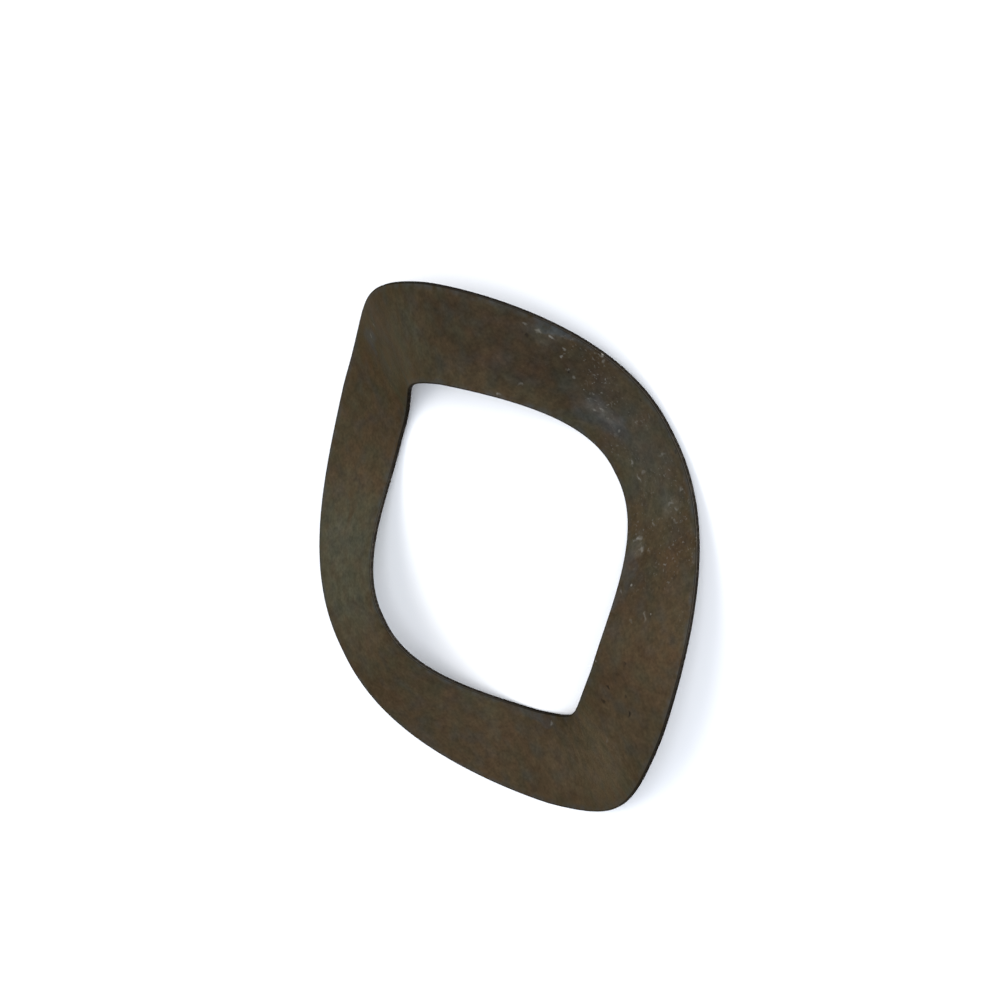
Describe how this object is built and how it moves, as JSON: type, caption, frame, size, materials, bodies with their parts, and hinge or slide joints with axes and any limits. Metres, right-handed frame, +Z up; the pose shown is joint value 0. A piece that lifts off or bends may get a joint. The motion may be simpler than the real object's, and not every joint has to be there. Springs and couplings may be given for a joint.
{
  "type": "wave spring washer",
  "caption": "Thin wavy spring washer: a round ring of tempered steel strip pressed into waves about a plain bore, to take up end play on a shaft.",
  "frame": {"origin": "on the bore's axis, in the plane that the three troughs rest on", "axes": "+Z up along the bore's axis, away from the seat; +X from the axis through the middle of one trough, with the tallest crest 60 degrees round from +X towards +Y"},
  "size_m": [0.0254, 0.0254, 0.0037],
  "materials": {
    "tempered_steel": "hardened and tempered strip under a thin, matte, mottled brown-grey oxide, with fine pale scuffs"
  },
  "bodies": {
    "root": {"wave_washer": "tempered_steel"}
  },
  "joints": []
}
